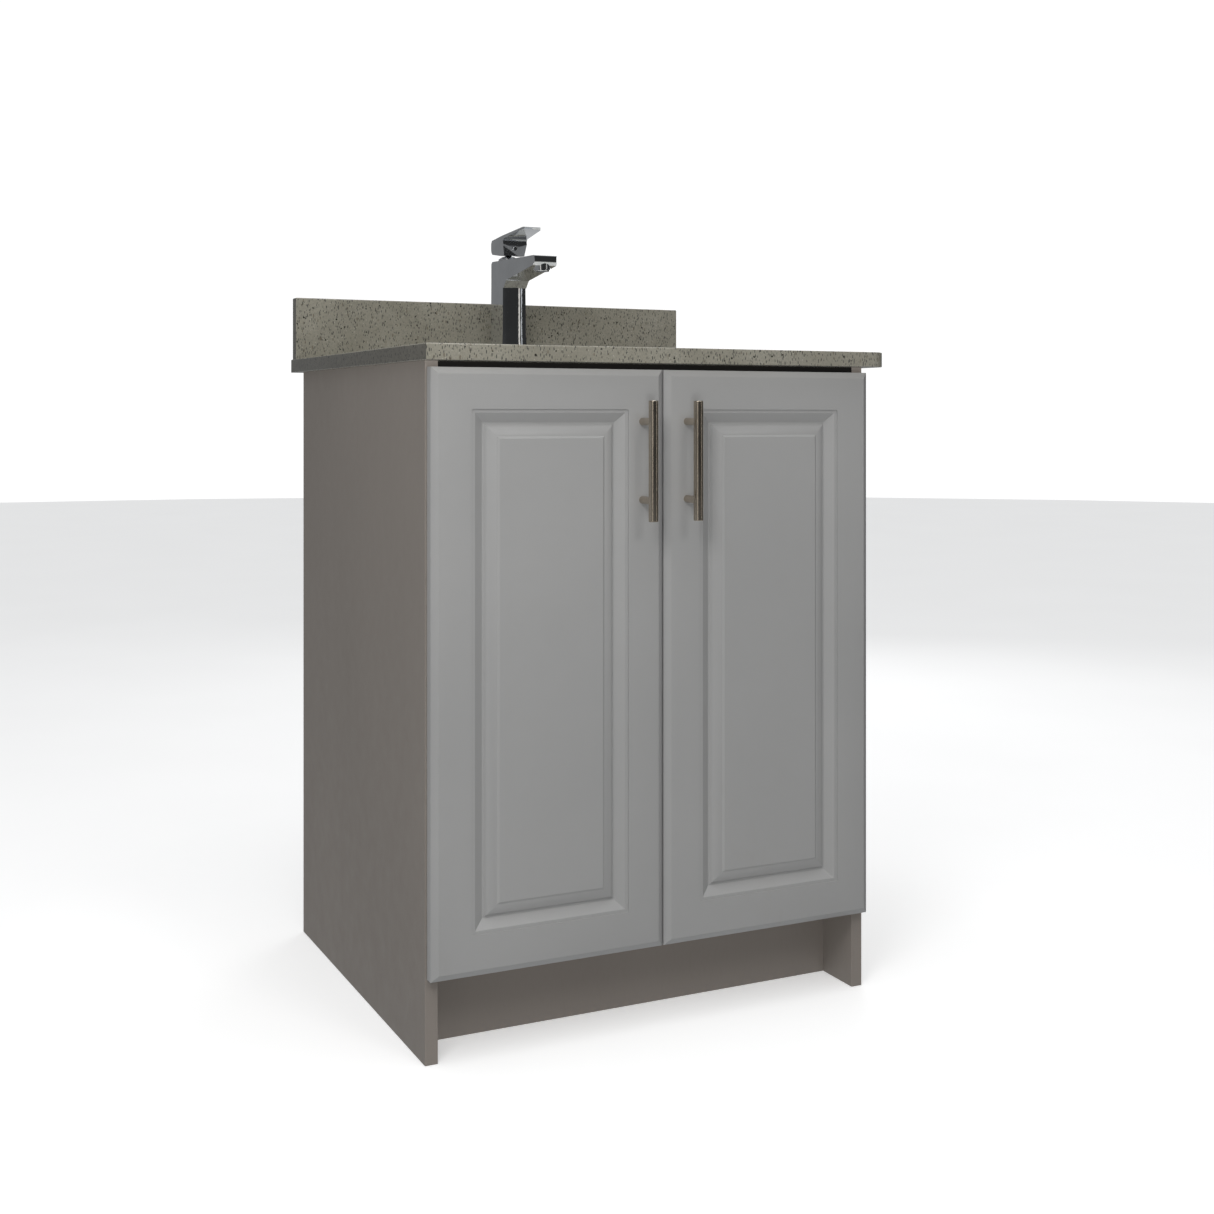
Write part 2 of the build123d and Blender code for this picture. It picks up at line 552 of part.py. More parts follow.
with BuildPart() as faucet_cartridge:
    rod("Z", 0, FY, FZ + 123.6, 15.7, 48.8)
    rod("Z", 0, FY, FZ + 143.0, 8.4, 30.0, Mode.SUBTRACT)
    rod("Y", 0, FY - 12.0, FZ + 139.0, 5.0, 12.0, Mode.SUBTRACT)
keep(faucet_cartridge.part, "faucet_cartridge")

with BuildPart() as cartridge_nut:
    with BuildSketch(Plane.XY.offset(FZ + 148.2)):
        with Locations((0, FY)):
            Circle(15.7)
            Circle(8.6, mode=Mode.SUBTRACT)
    extrude(amount=4.2)
keep(cartridge_nut.part, "cartridge_nut")

with BuildPart() as cartridge_stem:
    # cover dome and spindle; it turns with the lever
    with BuildSketch(Plane.XZ.offset(-FY)):
        with BuildLine():
            Polyline((0, FZ + 129.0), (5.6, FZ + 129.0), (5.6, FZ + 153.1), (14.8, FZ + 153.1),
                     (14.8, FZ + 155.4), (9.4, FZ + 158.6), (5.6, FZ + 159.4), (5.6, FZ + 172.5),
                     (0, FZ + 172.5), close=True)
        make_face()
    revolve(axis=Axis((0, FY, 0), (0, 0, 1)))
    rod("X", 0, FY, FZ + LIFT_Z, 1.6, 20.0, Mode.SUBTRACT)
keep(cartridge_stem.part, "cartridge_stem")

with BuildPart() as lever_pivot_pin:
    rod("X", 0, FY, FZ + LIFT_Z, 1.5, 31.0)
keep(lever_pivot_pin.part, "lever_pivot_pin")

with BuildPart() as faucet_lever:
    # side profile: faceted block with a thin paddle that rises over the spout
    with BuildSketch(Plane.YZ):
        with BuildLine():
            Polyline((FY + 22.4, FZ + 163.9), (FY + 24.4, FZ + 167.0), (FY + 24.4, FZ + 180.6),
                     (FY + 18.6, FZ + 185.0), (FY - 93.0, FZ + 195.0), (FY - 94.6, FZ + 193.8),
                     (FY - 92.6, FZ + 191.6), (FY - 30.4, FZ + 184.2), (FY - 26.0, FZ + 181.4),
                     (FY - 26.8, FZ + 176.5), (FY - 23.4, FZ + 158.9), (FY - 8.0, FZ + 159.4),
                     close=True)
        make_face()
    extrude(amount=19.6, both=True)
    # outline from above: the paddle narrows to its tip
    with BuildSketch(Plane.XY.offset(FZ + 150)):
        with Locations((0, FY)):
            Polygon((-18.4, 25.0), (-19.5, 18.0), (-19.5, -24.0), (-15.2, -88.0),
                    (-12.4, -95.0), (12.4, -95.0), (15.2, -88.0), (19.5, -24.0),
                    (19.5, 18.0), (18.4, 25.0), align=None)
    extrude(amount=60, mode=Mode.INTERSECT)
    # outline from the front: the block tapers towards its foot
    with BuildSketch(Plane.XZ.offset(-FY)):
        with BuildLine():
            Polyline((-16.4, FZ + 158), (-19.5, FZ + 177.0), (-19.5, FZ + 196),
                     (19.5, FZ + 196), (19.5, FZ + 177.0), (16.4, FZ + 158), close=True)
        make_face()
    extrude(amount=110, both=True, mode=Mode.INTERSECT)
    fillet(faucet_lever.edges().filter_by(
        lambda e: e.length > 14.0 and e.center().Z > FZ + 188), 0.5)
    # hollow foot around the stem
    slab(-11.0, 11.0, FY - 17.0, FY + 18.2, FZ + 150, FZ + 177.5, Mode.SUBTRACT)
    # bearing holes of the pivot pin, and the grub screw's hole in the front
    rod("X", 0, FY, FZ + LIFT_Z, 1.62, 33.0, Mode.SUBTRACT)
    rod("Y", 0, FY - 22.0, FZ + 169.4, 2.7, 16.0, Mode.SUBTRACT)
keep(faucet_lever.part, "faucet_lever")

with BuildPart() as lever_index_cap:
    # plain round cap over the grub screw
    rod("Y", 0, FY - 23.6, FZ + 169.4, 2.6, 7.0)
    rod("Y", 0, FY - 27.0, FZ + 169.4, 3.6, 1.6)
    fillet(lever_index_cap.edges().filter_by(GeomType.CIRCLE).group_by(Axis.Y)[0], 0.6)
keep(lever_index_cap.part, "lever_index_cap")

with BuildPart() as lever_grub_screw:
    rod("Y", 0, FY - 17.4, FZ + 169.4, 2.6, 4.6)
    rod("Y", 0, FY - 19.4, FZ + 169.4, 1.2, 3.0, Mode.SUBTRACT)
keep(lever_grub_screw.part, "lever_grub_screw")

# Below the top: threaded shank, backing washer, nut and the two inlets.
with BuildPart() as faucet_shank:
    rod("Z", 0, FY, FZ - 28.4, 15.6, 60.0)
    for s in (-1, 1):
        rod("Z", s * 7.0, FY + 2, FZ - 28.4, 4.4, 70.0, Mode.SUBTRACT)
keep(faucet_shank.part, "faucet_shank")

with BuildPart() as faucet_backing_washer:
    rod("Z", 0, FY, TOP_Z0 - 1.6, 21.5, 3.0)
    rod("Z", 0, FY, TOP_Z0 - 1.6, 15.8, 5.0, Mode.SUBTRACT)
keep(faucet_backing_washer.part, "faucet_backing_washer")

with BuildPart() as faucet_shank_nut:
    with BuildSketch(Plane.XY.offset(TOP_Z0 - 3.2)):
        with Locations((0, FY)):
            RegularPolygon(22.5, 6)
            Circle(15.8, mode=Mode.SUBTRACT)
    extrude(amount=-10)
keep(faucet_shank_nut.part, "faucet_shank_nut")

INLET_R = 4.7                 # spigot that takes the supply hose, below the shank
INLET_L = 32.0
INLET_Z0 = FZ - 92.0
with BuildPart() as faucet_inlets:
    for s in (-1, 1):
        rod("Z", s * 7.0, FY + 2, (INLET_Z0 + FZ - 2) / 2, 4.3, FZ - 2 - INLET_Z0)
        rod("Z", s * 7.0, FY + 2, INLET_Z0 + INLET_L / 2, INLET_R, INLET_L)
        rod("Z", s * 7.0, FY + 2, (INLET_Z0 + FZ - 2) / 2, 3.2, FZ + 40 - INLET_Z0, Mode.SUBTRACT)
keep(faucet_inlets.part, "faucet_inlets")

# ============================================================================
# Doors
# ============================================================================
DX0 = XL + DOOR_SIDE
DXC = DX0 + DOOR_W / 2
DZC = DOOR_Z + DOOR_H / 2
FRONT = Plane(origin=(DXC, DOOR_FRONT, DZC), x_dir=(1, 0, 0), z_dir=(0, -1, 0))
HX = DX0 + DOOR_W - HANDLE_INSET
POST_Z = (HANDLE_Z - BAR_CC / 2, HANDLE_Z + BAR_CC / 2)
CUP_X = DX0 + CUP_INSET


def inset_rect(depth, inset):
    """Door-shaped rectangle, set in from the edges, at a depth behind the front."""
    with BuildSketch(FRONT.offset(-depth)) as rect:
        Rectangle(DOOR_W - 2 * inset, DOOR_H - 2 * inset)
    return rect.sketch


with BuildPart() as door_left:
    extrude(inset_rect(EDGE_D, 0), amount=-(DOOR_T - EDGE_D))
    loft(sections=[inset_rect(EDGE_D, 0), inset_rect(0, EDGE_W)])
    # soft outer arris and crisp inner arris of the bevel
    fillet(door_left.edges().filter_by_position(Axis.Y, DOOR_FRONT + EDGE_D - 0.05,
                                                DOOR_FRONT + EDGE_D + 0.05)
           .filter_by(lambda e: e.length > 100), 1.2)
    fillet(door_left.edges().filter_by_position(Axis.Y, DOOR_FRONT - 0.05, DOOR_FRONT + 0.05)
           .filter_by(lambda e: e.length > 0.1), 0.6)
    # routed panel: quirk, slope down, valley, bevel up, small step, flat field
    with BuildSketch(FRONT):
        RectangleRounded(DOOR_W - 2 * QUIRK_IN, DOOR_H - 2 * QUIRK_IN, 2.6)
    extrude(amount=-QUIRK_D, mode=Mode.SUBTRACT)
    loft(sections=[inset_rect(QUIRK_D, SLOPE_IN0), inset_rect(VALLEY_D, SLOPE_IN1)],
         mode=Mode.SUBTRACT)
    loft(sections=[inset_rect(VALLEY_D, RISE_IN0), inset_rect(RISE_D1, RISE_IN1)])
    loft(sections=[inset_rect(RISE_D1, RISE_IN1), inset_rect(RISE_D2, RISE_IN2)])
    loft(sections=[inset_rect(RISE_D2, FIELD_IN0), inset_rect(0.15, FIELD_IN1)])
    # cup pockets and the holes of the handle screws
    for hz in HINGE_Z:
        rod("Y", CUP_X, DOOR_BACK - CUP_DEPTH / 2, hz, CUP_R, CUP_DEPTH, Mode.SUBTRACT)
        for dz in (-24.0, 24.0):
            rod("Y", CUP_X + 9.5, DOOR_BACK - 5.0, hz + dz, 1.6, 10.0, Mode.SUBTRACT)
    for pz in POST_Z:
        rod("Y", HX, DOOR_BACK - DOOR_T / 2, pz, 2.3, DOOR_T + 4, Mode.SUBTRACT)
keep(door_left.part, "door_left")

with BuildPart() as door_right:
    mirror(door_left.part, about=Plane.YZ)
keep(door_right.part, "door_right")

BAR_Y = YF - HANDLE_OUT + BAR_D / 2
with BuildPart() as handle_bar_left:
    rod("Z", HX, BAR_Y, HANDLE_Z, BAR_D / 2, BAR_L)
    fillet(handle_bar_left.edges().filter_by(GeomType.CIRCLE), 1.0)
    for pz in POST_Z:
        rod("Y", HX, BAR_Y + 4.0, pz, POST_D / 2 - 1.1, 8.0, Mode.SUBTRACT)
keep(handle_bar_left.part, "handle_bar_left")

with BuildPart() as handle_bar_right:
    mirror(handle_bar_left.part, about=Plane.YZ)
keep(handle_bar_right.part, "handle_bar_right")

with BuildPart() as handle_posts_left:
    for pz in POST_Z:
        with BuildSketch(Plane.XZ.offset(-DOOR_FRONT)):
            with Locations((HX, pz)):
                Circle(POST_D / 2)
        extrude(amount=DOOR_FRONT - BAR_Y)
    # saddle that fits the bar
    rod("Z", HX, BAR_Y, HANDLE_Z, BAR_D / 2 + 0.02, BAR_L + 4, Mode.SUBTRACT)
    for pz in POST_Z:
        rod("Y", HX, BAR_Y + 4.2, pz, POST_D / 2 - 1.2, 7.2)
        rod("Y", HX, DOOR_FRONT - 7.0, pz, 2.05, 18.0, Mode.SUBTRACT)
keep(handle_posts_left.part, "handle_posts_left")

with BuildPart() as handle_posts_right:
    mirror(handle_posts_left.part, about=Plane.YZ)
keep(handle_posts_right.part, "handle_posts_right")

with BuildPart() as handle_screws_left:
    for pz in POST_Z:
        rod("Y", HX, (DOOR_BACK + DOOR_FRONT - 14.0) / 2, pz, 2.0, DOOR_BACK - DOOR_FRONT + 14.0)
        rod("Y", HX, DOOR_BACK + 1.1, pz, 4.4, 2.2)
        slab(HX - 3.2, HX + 3.2, DOOR_BACK + 1.3, DOOR_BACK + 3.0, pz - 0.5, pz + 0.5, Mode.SUBTRACT)
keep(handle_screws_left.part, "handle_screws_left")

with BuildPart() as handle_screws_right:
    mirror(handle_screws_left.part, about=Plane.YZ)
keep(handle_screws_right.part, "handle_screws_right")

# ============================================================================
# Concealed hinges
# ============================================================================
with BuildPart() as hinge_cups_left:
    for hz in HINGE_Z:
        rod("Y", CUP_X, DOOR_BACK - CUP_DEPTH / 2 + 0.3, hz, CUP_R - 0.15, CUP_DEPTH + 0.4)
        # flange against the door's back
        with BuildSketch(Plane.XZ.offset(-(DOOR_BACK + 0.02))):
            with Locations((CUP_X, hz)):
                Circle(CUP_R + 1.0)
            with Locations((CUP_X + 6.0, hz)):
                RectangleRounded(14.0, 60.0, 4.0)
        extrude(amount=-0.72)
    for hz in HINGE_Z:
        rod("Y", CUP_X, DOOR_BACK - CUP_DEPTH / 2 + 1.5, hz, CUP_R - 1.2, CUP_DEPTH, Mode.SUBTRACT)
        for dz in (-24.0, 24.0):
            rod("Y", CUP_X + 9.5, DOOR_BACK, hz + dz, 1.9, 6.0, Mode.SUBTRACT)
keep(hinge_cups_left.part, "hinge_cups_left")

with BuildPart() as hinge_cups_right:
    mirror(hinge_cups_left.part, about=Plane.YZ)
keep(hinge_cups_right.part, "hinge_cups_right")

with BuildPart() as hinge_cup_screws_left:
    for hz in HINGE_Z:
        for dz in (-24.0, 24.0):
            rod("Y", CUP_X + 9.5, DOOR_BACK - 3.5, hz + dz, 1.5, 9.5)
            rod("Y", CUP_X + 9.5, DOOR_BACK + 1.5, hz + dz, 3.1, 1.4)
keep(hinge_cup_screws_left.part, "hinge_cup_screws_left")

with BuildPart() as hinge_cup_screws_right:
    mirror(hinge_cup_screws_left.part, about=Plane.YZ)
keep(hinge_cup_screws_right.part, "hinge_cup_screws_right")

with BuildPart() as hinge_plates_left:
    # wing-shaped plate on the side panel
    for hz in HINGE_Z:
        with BuildSketch(Plane.YZ.offset(XI)):
            with Locations((PLATE_Y, hz)):
                RectangleRounded(14.0, 46.0, 4.0)
            with Locations((PLATE_Y + 6.0, hz)):
                RectangleRounded(44.0, 15.0, 3.0)
        extrude(amount=2.4)
        slab(XI + 2.4, XI + 5.0, PLATE_Y - 12, PLATE_Y + 24, hz - 4.5, hz + 4.5)
        for dz in (-16.0, 16.0):
            rod("X", XI + 1.0, PLATE_Y, hz + dz, 3.0, 6.0, Mode.SUBTRACT)
keep(hinge_plates_left.part, "hinge_plates_left")

with BuildPart() as hinge_plates_right:
    mirror(hinge_plates_left.part, about=Plane.YZ)
keep(hinge_plates_right.part, "hinge_plates_right")

with BuildPart() as hinge_plate_screws:
    for s in (-1, 1):
        for hz in HINGE_Z:
            for dz in (-16.0, 16.0):
                rod("X", s * (-XI + 3.6), PLATE_Y, hz + dz, 2.5, 12.0)
                rod("X", s * (-XI - 3.3), PLATE_Y, hz + dz, 4.6, 1.8)
keep(hinge_plate_screws.part, "hinge_plate_screws")

with BuildPart() as hinge_arms_left:
    for hz in HINGE_Z:
        # channel arm over the plate, with a nose that dips into the cup
        with BuildSketch(Plane.XY.offset(hz - 7.0)):
            with BuildLine():
                Polyline((XI + 5.1, YF + 62), (XI + 5.1, YF + 14), (XI + 5.3, YF + 2),
                         (XI + 6.5, YF - 4.5), (XI + 9.0, YF - 7.0), (XI + 14.0, YF - 7.0),
                         (XI + 16.0, YF - 4.0), (XI + 16.0, YF + 1.5), (XI + 13.5, YF + 8),
                         (XI + 12.5, YF + 18), (XI + 12.5, YF + 58), (XI + 9.0, YF + 62), close=True)
            make_face()
        extrude(amount=14.0)
        slab(XI + 5.0, XI + 10.9, YF + 22, YF + 63, hz - 5.4, hz + 5.4, Mode.SUBTRACT)
        # adjusting screw
        rod("X", XI + 11.0, YF + 50, hz, 3.6, 5.6, Mode.SUBTRACT)
keep(hinge_arms_left.part, "hinge_arms_left")

with BuildPart() as hinge_arms_right:
    mirror(hinge_arms_left.part, about=Plane.YZ)
keep(hinge_arms_right.part, "hinge_arms_right")

with BuildPart() as hinge_arm_screws:
    for s in (-1, 1):
        for hz in HINGE_Z:
            rod("X", s * (-XI - 8.8), YF + 50, hz, 2.4, 7.5)
            rod("X", s * (-XI - 12.4), YF + 50, hz, 3.4, 1.6)
            slab(min(s * (-XI - 12.6), s * (-XI - 13.6)), max(s * (-XI - 12.6), s * (-XI - 13.6)),
                 YF + 47.2, YF + 52.8, hz - 0.5, hz + 0.5, Mode.SUBTRACT)
keep(hinge_arm_screws.part, "hinge_arm_screws")

with BuildPart() as door_bumpers_left:
    for bz in (BOTTOM_Z + 8.5, CAB_H - 11.6):
        rod("Y", DX0 + DOOR_W - 24.0, DOOR_BACK + 0.42, bz, 4.0, 0.84)
keep(door_bumpers_left.part, "door_bumpers_left")

with BuildPart() as door_bumpers_right:
    mirror(door_bumpers_left.part, about=Plane.YZ)
keep(door_bumpers_right.part, "door_bumpers_right")
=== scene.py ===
import bpy, bmesh, json, math
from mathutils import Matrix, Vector

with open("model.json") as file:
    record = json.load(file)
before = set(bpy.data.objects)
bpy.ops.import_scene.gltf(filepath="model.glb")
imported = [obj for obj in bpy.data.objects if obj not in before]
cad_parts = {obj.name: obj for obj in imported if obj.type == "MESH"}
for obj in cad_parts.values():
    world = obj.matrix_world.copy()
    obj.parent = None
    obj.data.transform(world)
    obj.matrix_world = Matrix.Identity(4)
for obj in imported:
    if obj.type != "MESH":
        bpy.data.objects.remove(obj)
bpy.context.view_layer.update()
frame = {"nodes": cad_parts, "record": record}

nodes = frame["nodes"]

# ---------------------------------------------------------------- camera
cam_data = bpy.data.cameras.new("camera")
cam = bpy.data.objects.new("camera", cam_data)
bpy.context.scene.collection.objects.link(cam)
cam.location = (-0.91625, -2.00642, 0.75378)
cam.rotation_euler = (math.pi / 2, 0.0, -0.4493)
cam_data.sensor_width = 36.0
cam_data.lens = 47.131
cam_data.shift_y = -0.1563
cam_data.clip_end = 200.0
bpy.context.scene.camera = cam


# ---------------------------------------------------------------- material tools
def new_mat(name):
    m = bpy.data.materials.new(name)
    m.use_nodes = True
    nt = m.node_tree
    nt.nodes.clear()
    out = nt.nodes.new("ShaderNodeOutputMaterial")
    b = nt.nodes.new("ShaderNodeBsdfPrincipled")
    nt.links.new(b.outputs["BSDF"], out.inputs["Surface"])
    co = nt.nodes.new("ShaderNodeTexCoord")
    return m, nt, b, co.outputs["Object"]


def mapped(nt, co, scale=(1, 1, 1), rot=(0, 0, 0)):
    mp = nt.nodes.new("ShaderNodeMapping")
    mp.inputs["Scale"].default_value = scale
    mp.inputs["Rotation"].default_value = rot
    nt.links.new(co, mp.inputs["Vector"])
    return mp.outputs["Vector"]


def noise(nt, co, scale, detail=4.0, rough=0.55, dist=0.0):
    n = nt.nodes.new("ShaderNodeTexNoise")
    n.inputs["Scale"].default_value = scale
    n.inputs["Detail"].default_value = detail
    n.inputs["Roughness"].default_value = rough
    n.inputs["Distortion"].default_value = dist
    nt.links.new(co, n.inputs["Vector"])
    return n.outputs["Fac"]


def ramp(nt, fac, stops):
    r = nt.nodes.new("ShaderNodeValToRGB")
    els = r.color_ramp.elements
    while len(els) < len(stops):
        els.new(0.5)
    for e, (p, c) in zip(els, stops):
        e.position = p
        e.color = tuple(c) + (1.0,) if len(c) == 3 else c
    nt.links.new(fac, r.inputs["Fac"])
    return r.outputs["Color"]


def spread(nt, fac, lo, hi, a=0.0, b=1.0):
    r = nt.nodes.new("ShaderNodeMapRange")
    r.inputs["From Min"].default_value = a
    r.inputs["From Max"].default_value = b
    r.inputs["To Min"].default_value = lo
    r.inputs["To Max"].default_value = hi
    nt.links.new(fac, r.inputs["Value"])
    return r.outputs["Result"]


def math2(nt, op, a, b):
    n = nt.nodes.new("ShaderNodeMath")
    n.operation = op
    for i, v in enumerate((a, b)):
        if isinstance(v, (int, float)):
            n.inputs[i].default_value = v
        else:
            nt.links.new(v, n.inputs[i])
    return n.outputs[0]


def mix(nt, fac, a, b, mode="MIX"):
    n = nt.nodes.new("ShaderNodeMix")
    n.data_type = "RGBA"
    n.blend_type = mode
    n.clamp_factor = True
    if isinstance(fac, (int, float)):
        n.inputs["Factor"].default_value = fac
    else:
        nt.links.new(fac, n.inputs["Factor"])
    for key, v in (("A", a), ("B", b)):
        sock = [s for s in n.inputs if s.name == key and s.type == "RGBA"][0]
        if isinstance(v, tuple):
            sock.default_value = v + (1.0,) if len(v) == 3 else v
        else:
            nt.links.new(v, sock)
    return [s for s in n.outputs if s.type == "RGBA"][0]


def bump(nt, b, heights, strength=1.0):
    """heights: list of (value socket, distance in metres)"""
    prev = None
    for h, d in heights:
        n = nt.nodes.new("ShaderNodeBump")
        n.inputs["Strength"].default_value = strength
        n.inputs["Distance"].default_value = d
        nt.links.new(h, n.inputs["Height"])
        if prev is not None:
            nt.links.new(prev, n.inputs["Normal"])
        prev = n.outputs["Normal"]
    nt.links.new(prev, b.inputs["Normal"])


def setb(b, **kw):
    for k, v in kw.items():
        b.inputs[k.replace("_", " ")].default_value = v


def facing(nt, axis):
    """-1 to 1: how far the surface faces along one axis of the object."""
    g = nt.nodes.new("ShaderNodeNewGeometry")
    s = nt.nodes.new("ShaderNodeSeparateXYZ")
    nt.links.new(g.outputs["Normal"], s.inputs[0])
    return s.outputs[axis]


def axis_of(nt, co, axis):
    s = nt.nodes.new("ShaderNodeSeparateXYZ")
    nt.links.new(co, s.inputs[0])
    return s.outputs[axis]


# ---------------------------------------------------------------- materials
def door_foil():
    m, nt, b, co = new_mat("door_foil")
    big = noise(nt, co, 3.2, 3.0)
    mid = noise(nt, co, 26.0, 4.0)
    fine = noise(nt, co, 1400.0, 2.0)
    base = ramp(nt, big, [(0.3, (0.375, 0.376, 0.374)), (0.7, (0.405, 0.405, 0.402))])
    base = mix(nt, spread(nt, mid, 0.0, 0.10, 0.45, 0.75), base, (0.33, 0.325, 0.315))
    # faint warm marks in tall patches across the face
    smear = noise(nt, mapped(nt, co, (9, 9, 3.2)), 1.0, 5.0, 0.6, 0.8)
    base = mix(nt, spread(nt, smear, 0.0, 0.16, 0.62, 0.78), base, (0.30, 0.265, 0.235))
    nt.links.new(base, b.inputs["Base Color"])
    r = spread(nt, noise(nt, co, 55.0, 5.0), 0.34, 0.46, 0.3, 0.7)
    nt.links.new(r, b.inputs["Roughness"])
    setb(b, IOR=1.5, Specular_IOR_Level=0.42)
    bump(nt, b, [(fine, 0.000018), (mid, 0.00005)])
    return m


def board():
    m, nt, b, co = new_mat("carcass_board")
    big = noise(nt, mapped(nt, co, (2.4, 2.4, 1.2)), 1.0, 3.0)
    fine = noise(nt, co, 900.0, 3.0)
    pores = noise(nt, mapped(nt, co, (260, 260, 60)), 1.0, 3.0)
    base = ramp(nt, big, [(0.3, (0.276, 0.247, 0.222)), (0.7, (0.306, 0.274, 0.247))])
    base = mix(nt, spread(nt, pores, 0.0, 0.12, 0.5, 0.8), base, (0.215, 0.192, 0.172))
    # faint brown drip marks
    drip = noise(nt, mapped(nt, co, (26, 26, 1.6)), 1.0, 4.0, 0.6)
    base = mix(nt, spread(nt, drip, 0.0, 0.22, 0.66, 0.80), base, (0.20, 0.165, 0.135))
    nt.links.new(base, b.inputs["Base Color"])
    nt.links.new(spread(nt, noise(nt, co, 40.0), 0.48, 0.62, 0.3, 0.7), b.inputs["Roughness"])
    setb(b, IOR=1.48, Specular_IOR_Level=0.32)
    bump(nt, b, [(fine, 0.00002), (pores, 0.00003)])
    return m


def rail_black_with_painted_shade():
    m, nt, b, co = new_mat("rail_black_painted_shade")
    n1 = noise(nt, mapped(nt, co, (6, 60, 60)), 1.0, 4.0)
    # near-black: a dark rail edge that also carries painted shade of the gap between the door tops and
    # the underside of the top
    base = ramp(nt, n1, [(0.3, (0.0045, 0.004, 0.0035)), (0.7, (0.009, 0.008, 0.007))])
    nt.links.new(base, b.inputs["Base Color"])
    nt.links.new(spread(nt, n1, 0.6, 0.8), b.inputs["Roughness"])
    setb(b, Specular_IOR_Level=0.2)
    bump(nt, b, [(noise(nt, co, 800.0), 0.00003)])
    return m


def hardboard():
    m, nt, b, co = new_mat("hardboard")
    f = noise(nt, mapped(nt, co, (420, 420, 420)), 1.0, 5.0, 0.7)
    base = ramp(nt, f, [(0.3, (0.30, 0.29, 0.27)), (0.7, (0.37, 0.355, 0.33))])
    nt.links.new(base, b.inputs["Base Color"])
    nt.links.new(spread(nt, f, 0.55, 0.75), b.inputs["Roughness"])
    bump(nt, b, [(f, 0.00006)])
    return m


def stone():
    m, nt, b, co = new_mat("stone_top")
    cloud = noise(nt, co, 14.0, 5.0, 0.6)
    grit = noise(nt, co, 420.0, 3.0, 0.7)
    base = ramp(nt, cloud, [(0.32, (0.285, 0.272, 0.220)), (0.5, (0.322, 0.308, 0.252)),
                            (0.68, (0.360, 0.346, 0.288))])
    base = mix(nt, spread(nt, grit, 0.0, 0.55, 0.42, 0.72), base, (0.185, 0.180, 0.158))

    def specks(scale, keep, size, jitter_seed):
        v = nt.nodes.new("ShaderNodeTexVoronoi")
        v.feature = "F1"
        v.inputs["Scale"].default_value = scale
        v.inputs["Randomness"].default_value = 1.0
        warp = mapped(nt, co, (1, 1, 1), jitter_seed)
        n = nt.nodes.new("ShaderNodeTexNoise")
        n.inputs["Scale"].default_value = scale * 1.7
        n.inputs["Detail"].default_value = 2.0
        nt.links.new(warp, n.inputs["Vector"])
        add = nt.nodes.new("ShaderNodeVectorMath")
        add.operation = "MULTIPLY_ADD"
        nt.links.new(n.outputs["Color"], add.inputs[0])
        add.inputs[1].default_value = (0.35 / scale,) * 3
        nt.links.new(warp, add.inputs[2])
        nt.links.new(add.outputs[0], v.inputs["Vector"])
        sep = nt.nodes.new("ShaderNodeSeparateColor")
        nt.links.new(v.outputs["Color"], sep.inputs[0])
        chosen = math2(nt, "LESS_THAN", sep.outputs[0], keep)
        rad = spread(nt, sep.outputs[1], size * 0.5, size)
        inside = math2(nt, "LESS_THAN", v.outputs["Distance"], rad)
        return math2(nt, "MULTIPLY", chosen, inside)

    def flecks(scale, stretch, keep, size, turn):
        """Short dashes, all at one slant; several turns together look scattered."""
        v = nt.nodes.new("ShaderNodeTexVoronoi")
        v.feature = "F1"
        v.inputs["Scale"].default_value = 1.0
        nt.links.new(mapped(nt, co, (scale, scale * 0.8, scale / stretch), turn), v.inputs["Vector"])
        sep = nt.nodes.new("ShaderNodeSeparateColor")
        nt.links.new(v.outputs["Color"], sep.inputs[0])
        chosen = math2(nt, "LESS_THAN", sep.outputs[0], keep)
        rad = spread(nt, sep.outputs[1], size * 0.45, size)
        return math2(nt, "MULTIPLY", chosen, math2(nt, "LESS_THAN", v.outputs["Distance"], rad))

    dark_big = specks(190.0, 0.20, 0.28, (0.3, 0.1, 0.2))
    dark_small = math2(nt, "MAXIMUM", flecks(420.0, 3.2, 0.62, 0.31, (0.3, 0.75, 0.2)),
                       math2(nt, "MAXIMUM", flecks(380.0, 3.0, 0.58, 0.31, (-0.4, -0.7, 1.1)),
                             flecks(400.0, 3.0, 0.58, 0.31, (0.2, 1.5, 0.6))))
    light_small = specks(300.0, 0.22, 0.30, (1.3, 0.8, 0.5))
    brown = flecks(300.0, 2.6, 0.25, 0.34, (0.9, -1.2, 0.4))
    base = mix(nt, math2(nt, "MULTIPLY", light_small, 0.55), base, (0.50, 0.48, 0.41))
    base = mix(nt, math2(nt, "MULTIPLY", brown, 0.6), base, (0.13, 0.10, 0.065))
    base = mix(nt, math2(nt, "MULTIPLY", dark_small, 0.84), base, (0.060, 0.058, 0.056))
    base = mix(nt, math2(nt, "MULTIPLY", dark_big, 0.9), base, (0.020, 0.018, 0.015))
    # painted shade on the left ends: faces turned towards -X are darkened
    geo = nt.nodes.new("ShaderNodeNewGeometry")
    gx = nt.nodes.new("ShaderNodeSeparateXYZ")
    nt.links.new(geo.outputs["True Normal"], gx.inputs[0])
    left_end_painted_shade = math2(nt, "LESS_THAN", gx.outputs[0], -0.9)
    base = mix(nt, math2(nt, "MULTIPLY", left_end_painted_shade, 0.62), base, (0.035, 0.031, 0.027))
    nt.links.new(base, b.inputs["Base Color"])
    nt.links.new(spread(nt, noise(nt, co, 90.0, 4.0), 0.13, 0.24, 0.3, 0.7), b.inputs["Roughness"])
    setb(b, IOR=1.52, Specular_IOR_Level=0.5)
    bump(nt, b, [(noise(nt, co, 60.0, 3.0), 0.00004), (grit, 0.000012)])
    return m


